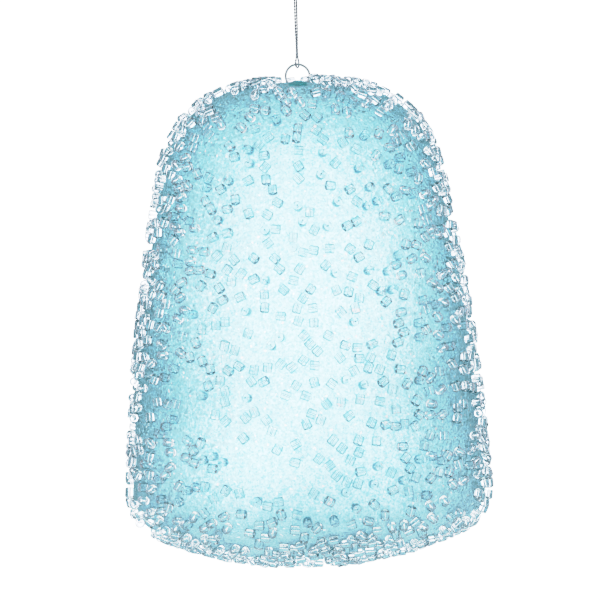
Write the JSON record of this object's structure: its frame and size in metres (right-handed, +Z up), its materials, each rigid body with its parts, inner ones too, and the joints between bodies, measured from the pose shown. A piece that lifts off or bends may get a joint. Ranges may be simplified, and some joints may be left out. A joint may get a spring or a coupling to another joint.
{
  "type": "gumdrop hanging ornament",
  "caption": "Sugar-coated gumdrop ornament with glass tube beads that hangs by a wire ring and a doubled metallic cord.",
  "frame": {"origin": "inside top of the cord's open loop, where a hook holds the ornament", "axes": "+Z up along the body's axis, +X to the right and -Y towards the viewer, in the ring's plane and across it"},
  "size_m": [0.0965, 0.0966, 0.169],
  "materials": {
    "coat": "matte",
    "foam": "matte",
    "peg": "gloss",
    "ring": "polished",
    "cord": "satin",
    "bead": "gloss"
  },
  "bodies": {
    "hang_loop": {"cord_loop": "cord", "cord_knot": "cord"},
    "cord": {"cord_strands": "cord"},
    "ring": {"hanging_ring": "ring"},
    "ornament": {"foam_core": "foam", "sugar_coat": "coat", "hanger_peg": "peg", "glass_bead_01": "bead", "glass_bead_02": "bead", "glass_bead_03": "bead", "glass_bead_04": "bead", "glass_bead_05": "bead", "glass_bead_06": "bead", "glass_bead_07": "bead", "glass_bead_08": "bead", "glass_bead_09": "bead", "glass_bead_10": "bead", "glass_bead_11": "bead", "glass_bead_12": "bead", "glass_bead_13": "bead", "glass_bead_14": "bead", "glass_bead_15": "bead", "glass_bead_16": "bead", "glass_bead_17": "bead", "glass_bead_18": "bead", "glass_bead_19": "bead", "glass_bead_20": "bead", "glass_bead_21": "bead", "glass_bead_22": "bead", "glass_bead_23": "bead", "glass_bead_24": "bead", "glass_bead_25": "bead", "glass_bead_26": "bead", "glass_bead_27": "bead", "glass_bead_28": "bead", "glass_bead_29": "bead", "glass_bead_30": "bead", "glass_bead_31": "bead", "glass_bead_32": "bead", "glass_bead_33": "bead", "glass_bead_34": "bead", "glass_bead_35": "bead", "glass_bead_36": "bead", "glass_bead_37": "bead", "glass_bead_38": "bead", "glass_bead_39": "bead", "glass_bead_40": "bead", "glass_bead_41": "bead", "glass_bead_42": "bead"}
  },
  "joints": [
    {"name": "cord_twist", "type": "hinge", "parent": "hang_loop", "child": "cord", "pos_m": [0, 0, -0.0192], "axis": [0, 0, 1], "continuous": true},
    {"name": "ring_sway", "type": "hinge", "parent": "cord", "child": "ring", "pos_m": [0, 0, -0.0414], "axis": [0, 1, 0], "range_deg": [-50, 50]},
    {"name": "ornament_nod", "type": "hinge", "parent": "ring", "child": "ornament", "pos_m": [0, 0, -0.04455], "axis": [1, 0, 0], "range_deg": [-45, 45]}
  ]
}
